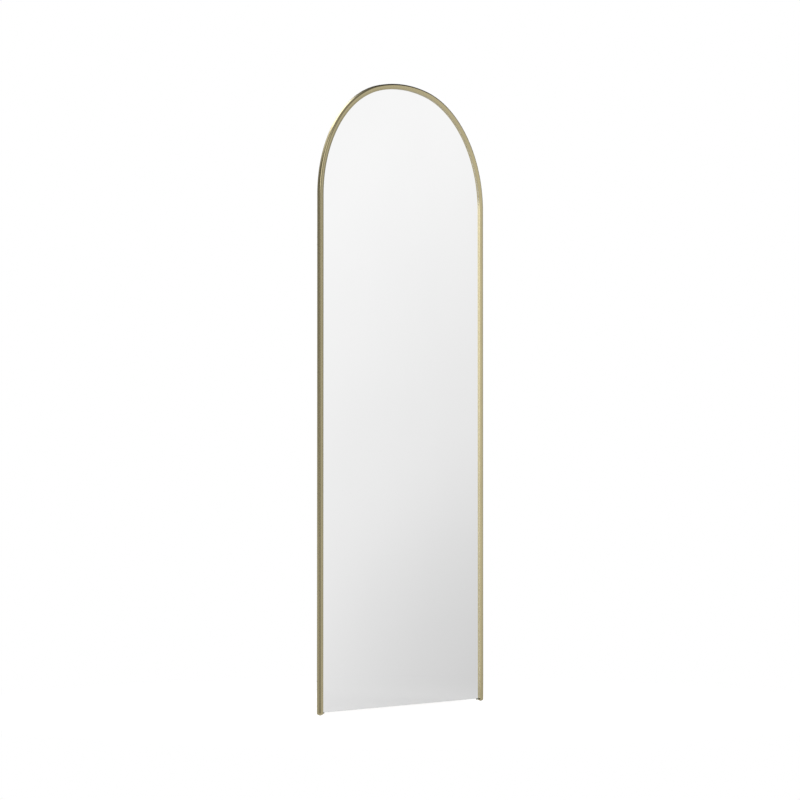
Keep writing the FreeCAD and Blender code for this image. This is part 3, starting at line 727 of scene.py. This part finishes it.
def cross_recess(radius, depth):
    """A cross-shaped cutter that tapers into the head of a screw. Its open end stands above it."""
    narrowing = 0.6
    shape = bmesh.new()
    for crossed in (False, True):
        corner = []
        for level, wide, long in ((depth, 0.19, 0.36), (-depth, 0.3, 0.66)):
            for x, z in ((-1, -1), (1, -1), (1, 1), (-1, 1)):
                point = Vector((x * long * radius, -level, z * wide * radius * narrowing))
                if crossed:
                    point = Vector((point.z, point.y, point.x))
                corner.append(shape.verts.new(point))
        shape.faces.new(corner[:4])
        shape.faces.new(corner[4:])
        for step in range(4):
            following = (step + 1) % 4
            shape.faces.new(
                (corner[step], corner[following], corner[4 + following], corner[4 + step]))
    return shape


def dome(radius, base, crown, start):
    """The (radius, y) points of a domed head: an ellipse about its base, from an angle in degrees up."""
    steps = 7
    points = []
    for step in range(1, steps + 1):
        angle = math.radians(start + (90 - start) * step / steps)
        reach = radius * math.cos(angle) if step < steps else 0
        points.append((reach, base + (crown - base) * math.sin(angle)))
    return points


def screw_master(name, low, high, seat, shank):
    """A pan-head screw with a cross recess. Its seat is at Y = 0 and its thread points to -Y."""
    radius = (high.x - low.x) / 2
    tip, crown = low.y - seat, high.y - seat
    rim, core, pitch = crown * 0.32, shank * 0.8, 0.6 * MM
    profile = [(0, tip), (shank * 0.35, tip), (core, tip + 0.9 * MM)]
    turns = int((-tip - 1.2 * MM) / pitch)
    for turn in range(turns):
        start = tip + 1.0 * MM + turn * pitch
        profile += [(core, start), (shank, start + 0.22 * MM), (core, start + 0.44 * MM)]
    profile += [(core, 0), (radius * 0.96, 0), (radius, 0.08 * MM), (radius, rim)]
    profile += dome(radius, rim, crown, 0)
    head = mesh_object(name, lathe(profile, 32))
    cutter_shape = cross_recess(radius, crown * 0.62)
    bmesh.ops.translate(cutter_shape, verts=cutter_shape.verts, vec=(0, crown, 0))
    cutter = mesh_object(name + "_recess", cutter_shape)
    cut = head.modifiers.new("recess", "BOOLEAN")
    cut.operation = "DIFFERENCE"
    cut.solver = "EXACT"
    cut.use_self = True
    cut.object = cutter
    screw = settle(head, name + "_cut")
    remove(cutter)
    return screw


class SetScrews(bpy.types.Operator):
    """Sets the screws of the clips and the bars, each turned as it was driven"""

    bl_idname = "floor_mirror.set_screws"
    bl_label = "Screws"

    def execute(self, context):
        for node, seat_node, shank, seed in (
                ("clip_screws", "panel_clips", 1.4 * MM, 3), ("brace_screws", "lower_brace", 1.7 * MM, 8)):
            boxes = islands(node)
            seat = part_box(seat_node)[1][1]
            master = screw_master(node + "_master", *boxes[0], seat, shank)
            spots = [(middle.x, seat, middle.z, 0.0) for middle in middles(boxes)]
            name = node.replace("_screws", "_screw_set")
            set_out(name, master, spots, "zinc", node, math.pi / 2, seed)
        return {"FINISHED"}


class SetRivets(bpy.types.Operator):
    """Sets the domed rivets of the hanger straps"""

    bl_idname = "floor_mirror.set_rivets"
    bl_label = "Rivets"

    def execute(self, context):
        strap_thickness, shank = 1.5 * MM, 2 * MM
        boxes = islands("hanger_rivets")
        low, high = boxes[0]
        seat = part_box("upper_brace")[1][1] + strap_thickness
        radius, tip = (high.x - low.x) / 2, low.y - seat
        profile = [(0, tip), (shank, tip), (shank, 0), (radius * 0.97, 0), (radius, 0.1 * MM)]
        profile += dome(radius, 0, high.y - seat, 12)
        master = mesh_object("rivet_master", lathe(profile, 28))
        spots = [(middle.x, seat, middle.z, 0.0) for middle in middles(boxes)]
        set_out("rivet_set", master, spots, "zinc", "hanger_rivets")
        return {"FINISHED"}


class SetClips(bpy.types.Operator):
    """Sets the flat clips round the panel, each square to the rail"""

    bl_idname = "floor_mirror.set_clips"
    bl_label = "Clips"

    def execute(self, context):
        sizes = context.scene.floor_mirror_sizes
        clip_edge = 0.22 * MM
        low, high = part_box("panel_clips")
        master = mesh_object("clip_master", clip_shape(high[1] - low[1]))
        round_edges(master, clip_edge, 50)
        master = settle(master, "clip_master_round")
        spots = [
            (spot.x, low[1], spot.z, -self.outward(spot, sizes))
            for spot in middles(islands("clip_screws"))]
        set_out("clip_set", master, spots, "zinc", "panel_clips")
        return {"FINISHED"}

    def outward(self, spot, sizes):
        """The direction, as an angle, from the panel out through a clip's screw, square to the rail."""
        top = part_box("frame_rail")[1]
        spread = sizes.shoulder_spread
        spring = top[2] - (top[0] - spread) - sizes.crown_lift
        if spot.z <= spring:
            return math.pi if spot.x < 0 else 0.0
        centre_x = 0 if abs(spot.x) < spread else math.copysign(spread, spot.x)
        return math.atan2(spot.z - spring, spot.x - centre_x)


def clip_shape(thickness):
    """A flat clip with rounded corners and a hole at the origin. Its long end points to -X."""
    outer, inner, half = 3.3 * MM, -16.7 * MM, 7 * MM
    corner, hole_radius = 2 * MM, 1.5 * MM
    outline = []
    for centre_x, centre_z, start in (
            (outer - corner, half - corner, 0), (inner + corner, half - corner, 90),
            (inner + corner, corner - half, 180), (outer - corner, corner - half, 270)):
        outline += arc((centre_x, centre_z), corner, start, start + 90, 5)
    shape = bmesh.new()
    edge = [shape.verts.new((x, 0, z)) for x, z in outline]
    hole = [shape.verts.new((x, 0, z)) for x, z in arc((0, 0), hole_radius, 0, 360, 24)[:-1]]
    sides = [shape.edges.new((ring[step], ring[(step + 1) % len(ring)])) for ring in (edge, hole)
             for step in range(len(ring))]
    bmesh.ops.triangle_fill(shape, use_beauty=True, use_dissolve=False, edges=sides)
    raised = bmesh.ops.extrude_face_region(shape, geom=list(shape.faces))
    moved = [item for item in raised["geom"] if isinstance(item, bmesh.types.BMVert)]
    bmesh.ops.translate(shape, verts=moved, vec=(0, thickness, 0))
    return shape


class SetBumpers(bpy.types.Operator):
    """Sets the rubber pads on the back of the arch"""

    bl_idname = "floor_mirror.set_bumpers"
    bl_label = "Wall bumpers"

    def execute(self, context):
        boxes = islands("wall_bumpers")
        low, high = boxes[0]
        radius, thickness = (high.x - low.x) / 2, high.y - low.y
        shoulder = thickness * 0.4
        profile = [(0, 0), (radius * 0.97, 0), (radius, 0.1 * MM)]
        profile += arc((radius - shoulder, thickness * 0.6), shoulder, 0, 90, 6)
        profile += [(radius * 0.35, thickness), (radius * 0.25, thickness * 0.93)]
        profile += [(0, thickness * 0.9)]
        master = mesh_object("bumper_master", lathe(profile, 32))
        spots = [(middle.x, low.y, middle.z, 0.0) for middle in middles(boxes)]
        set_out("bumper_set", master, spots, "rubber", "wall_bumpers")
        return {"FINISHED"}


class FinishBars(bpy.types.Operator):
    """Finishes the flat bars and the hanger straps"""

    bl_idname = "floor_mirror.finish_bars"
    bl_label = "Bars and straps"

    def execute(self, context):
        sizes = context.scene.floor_mirror_sizes
        for node in ("lower_brace", "upper_brace", "hanger_strap_left", "hanger_strap_right"):
            round_edges(refinish(node, "zinc"), sizes.soft_edge, 50)
        return {"FINISHED"}


class FinishRings(bpy.types.Operator):
    """Finishes the two D-rings"""

    bl_idname = "floor_mirror.finish_rings"
    bl_label = "Rings"

    def execute(self, context):
        for node in ("hanger_ring_left", "hanger_ring_right"):
            refinish(node, "zinc")
        return {"FINISHED"}


# ---------------------------------------------------------------- the studio


def towards(graph, direction, aim, wide, narrow):
    """1 near the aimed direction and 0 away from it, between two angles in degrees."""
    aim = Vector(aim).normalized()
    aligned = graph.add("ShaderNodeVectorMath", {0: direction, 1: aim}, operation="DOT_PRODUCT")
    edges = [math.cos(math.radians(angle)) for angle in (wide, narrow)]
    return Varying(graph, aligned.outputs["Value"]).between(*edges)


def backdrop_level(graph, direction):
    """The backdrop that the glass shows: white, a little dimmer low down to the right."""
    right = towards(graph, direction, (0.855, -0.514, -0.07), 13, 3) * 0.18
    low = towards(graph, direction, (0.830, -0.539, -0.139), 10, 4) * 0.18
    return 1.0 - right - low


def room_level(graph, direction):
    """How bright the room is: a white backdrop, dim sides and a soft box beside the camera."""
    left = towards(graph, direction, (-0.86, 0.45, 0.3), 34, 14) * 0.75
    right = towards(graph, direction, (0.90, 0.25, 0.3), 52, 34) * 0.85
    overhead = towards(graph, direction, (0.74, -0.28, 0.6), 33, 24) * 0.5
    soft_box = towards(graph, direction, (-0.783, -0.622, 0.16), 20, 8) * 1.1
    dimmed = backdrop_level(graph, direction) * (1.0 - left) * (1.0 - right) * (1.0 - overhead)
    return dimmed + soft_box


def studio_world():
    """A soft white room, which is plain white where it is seen directly."""
    world = bpy.data.worlds.new("soft_studio")
    world.use_nodes = True
    graph = Graph(world.node_tree)
    graph.tree.nodes.clear()
    level = room_level(graph, graph.add("ShaderNodeTexCoord").outputs["Generated"])
    rays = graph.add("ShaderNodeLightPath")
    seen = Varying(graph, rays.outputs["Is Camera Ray"])
    strength = level + (1.0 - level) * seen
    background = graph.add("ShaderNodeBackground", {"Color": (1, 1, 1, 1), "Strength": strength})
    graph.add("ShaderNodeOutputWorld", {"Surface": background.outputs[0]})
    return world


def floor_finish(colour):
    """A matt pale floor that reads as white, keeps the shadows and runs into the room far away."""
    shadow_reach = 1.5
    room_start, room_end = 8.0, 40.0
    mirror_share, glow_strength = 0.75, 0.5
    white = (1, 1, 1, 1)
    finish = Finish("studio_floor", Roughness=0.9)
    cloud = finish.noise(finish.place(), 0.6, 2.0)
    finish.finish(finish.blend(cloud, shade(colour, 0.99), colour))
    rays = finish.add("ShaderNodeLightPath")
    direct = Varying(finish, rays.outputs["Is Camera Ray"])
    mirrored = Varying(finish, rays.outputs["Is Glossy Ray"])
    glow = finish.add("ShaderNodeEmission", {"Color": white, "Strength": direct * glow_strength})
    lit = finish.add("ShaderNodeAddShader", {0: finish.shader.outputs[0], 1: glow.outputs[0]})
    reach = finish.add("ShaderNodeVectorMath", {0: finish.place()}, operation="LENGTH")
    distance = Varying(finish, reach.outputs["Value"])

    # the glass shows the floor as if from the camera's place mirrored to the back
    mirrored_eye = (CAMERA_AT[0], -CAMERA_AT[1], CAMERA_AT[2])
    ray = finish.add(
        "ShaderNodeVectorMath", {0: finish.place(), 1: mirrored_eye}, operation="SUBTRACT")
    away = finish.add("ShaderNodeVectorMath", {0: ray.outputs[0]}, operation="NORMALIZE").outputs[0]
    near_level = backdrop_level(finish, away)
    level = near_level + (
        room_level(finish, away) - near_level) * distance.between(room_start, room_end)
    # painted light: rays from the glass see the floor glow at the room's level, with painted shade low
    # down to the right, in place of its lit colour
    glass_glow = finish.add(
        "ShaderNodeEmission", {"Color": white, "Strength": level + (1.0 - level) * direct})
    kept = (1.0 - distance.between(0.0, shadow_reach)) * (1.0 - mirrored * mirror_share)
    merged = finish.add(
        "ShaderNodeMixShader", {0: 1.0 - kept, 1: lit.outputs[0], 2: glass_glow.outputs[0]})
    finish.feed(finish.output.inputs["Surface"], merged.outputs[0])
    return finish.material


def area_lamp(name, place, target, size, power):
    """A square soft lamp that looks at a point."""
    data = bpy.data.lights.new(name, "AREA")
    data.shape = "SQUARE"
    data.size = size
    data.energy = power
    lamp = new_object(name, data)
    lamp.location = place
    lamp.rotation_euler = (Vector(target) - Vector(place)).to_track_quat("-Z", "Y").to_euler()
    lamp.visible_camera = False


class BuildStage(bpy.types.Operator):
    """Sets up the floor, the light and the camera"""

    bl_idname = "floor_mirror.build_stage"
    bl_label = "Stage"

    def execute(self, context):
        scene = context.scene
        floor_radius, aim = 60.0, (0, 0, 0.9)
        shape = bmesh.new()
        bmesh.ops.create_circle(shape, cap_ends=True, segments=96, radius=floor_radius)
        floor = mesh_object("studio_floor", shape)
        floor.data.materials.append(floor_finish(scene.floor_mirror_colours.floor))
        scene.world = studio_world()
        area_lamp("key_lamp", (-4.0, -3.0, 4.5), aim, size=4.5, power=130)
        area_lamp("back_lamp", (0.6, 5.0, 6.0), aim, size=4.0, power=120)
        scene.view_settings.view_transform = "Standard"
        self.aim_camera(scene)
        return {"FINISHED"}

    def aim_camera(self, scene):
        """Puts the camera where the photograph was taken from."""
        data = bpy.data.cameras.new("photo_camera")
        data.sensor_width = 36.0
        data.lens = FOCAL_LENGTH
        data.clip_end = 200.0
        camera = new_object("photo_camera", data)
        camera.location = CAMERA_AT
        camera.rotation_euler = (
            math.pi / 2 + math.radians(CAMERA_TILT), 0, -math.radians(CAMERA_TURN))
        scene.camera = camera


class MirrorPanel(bpy.types.Panel):
    """Lists the pieces of the mirror in the 3D view's sidebar"""

    bl_idname = "VIEW3D_PT_floor_mirror"
    bl_label = "Arched floor mirror"
    bl_space_type = "VIEW_3D"
    bl_region_type = "UI"
    bl_category = "Mirror"

    def draw(self, context):
        for step in STEPS:
            self.layout.operator(step.bl_idname)
        for group in (context.scene.floor_mirror_sizes, context.scene.floor_mirror_colours):
            for name in group.bl_rna.properties.keys():
                if name not in ("name", "rna_type"):
                    self.layout.prop(group, name)


STEPS = (
    SweepRail, FinishFeet, FinishGlass, FinishPacking, SetScrews, SetRivets, SetClips,
    SetBumpers, FinishBars, FinishRings, BuildStage,
)
CLASSES = (MirrorSizes, MirrorColours, *STEPS, MirrorPanel)


def register():
    """Registers the add-on's classes and properties."""
    for item in CLASSES:
        bpy.utils.register_class(item)
    bpy.types.Scene.floor_mirror_sizes = bpy.props.PointerProperty(type=MirrorSizes)
    bpy.types.Scene.floor_mirror_colours = bpy.props.PointerProperty(type=MirrorColours)


def unregister():
    """Takes the add-on's classes and properties away."""
    del bpy.types.Scene.floor_mirror_colours
    del bpy.types.Scene.floor_mirror_sizes
    for item in reversed(CLASSES):
        bpy.utils.unregister_class(item)


def main():
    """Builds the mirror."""
    register()
    prepare_finishes()
    for step in STEPS:
        group, name = step.bl_idname.split(".")
        getattr(getattr(bpy.ops, group), name)()


if __name__ == "__main__":
    main()
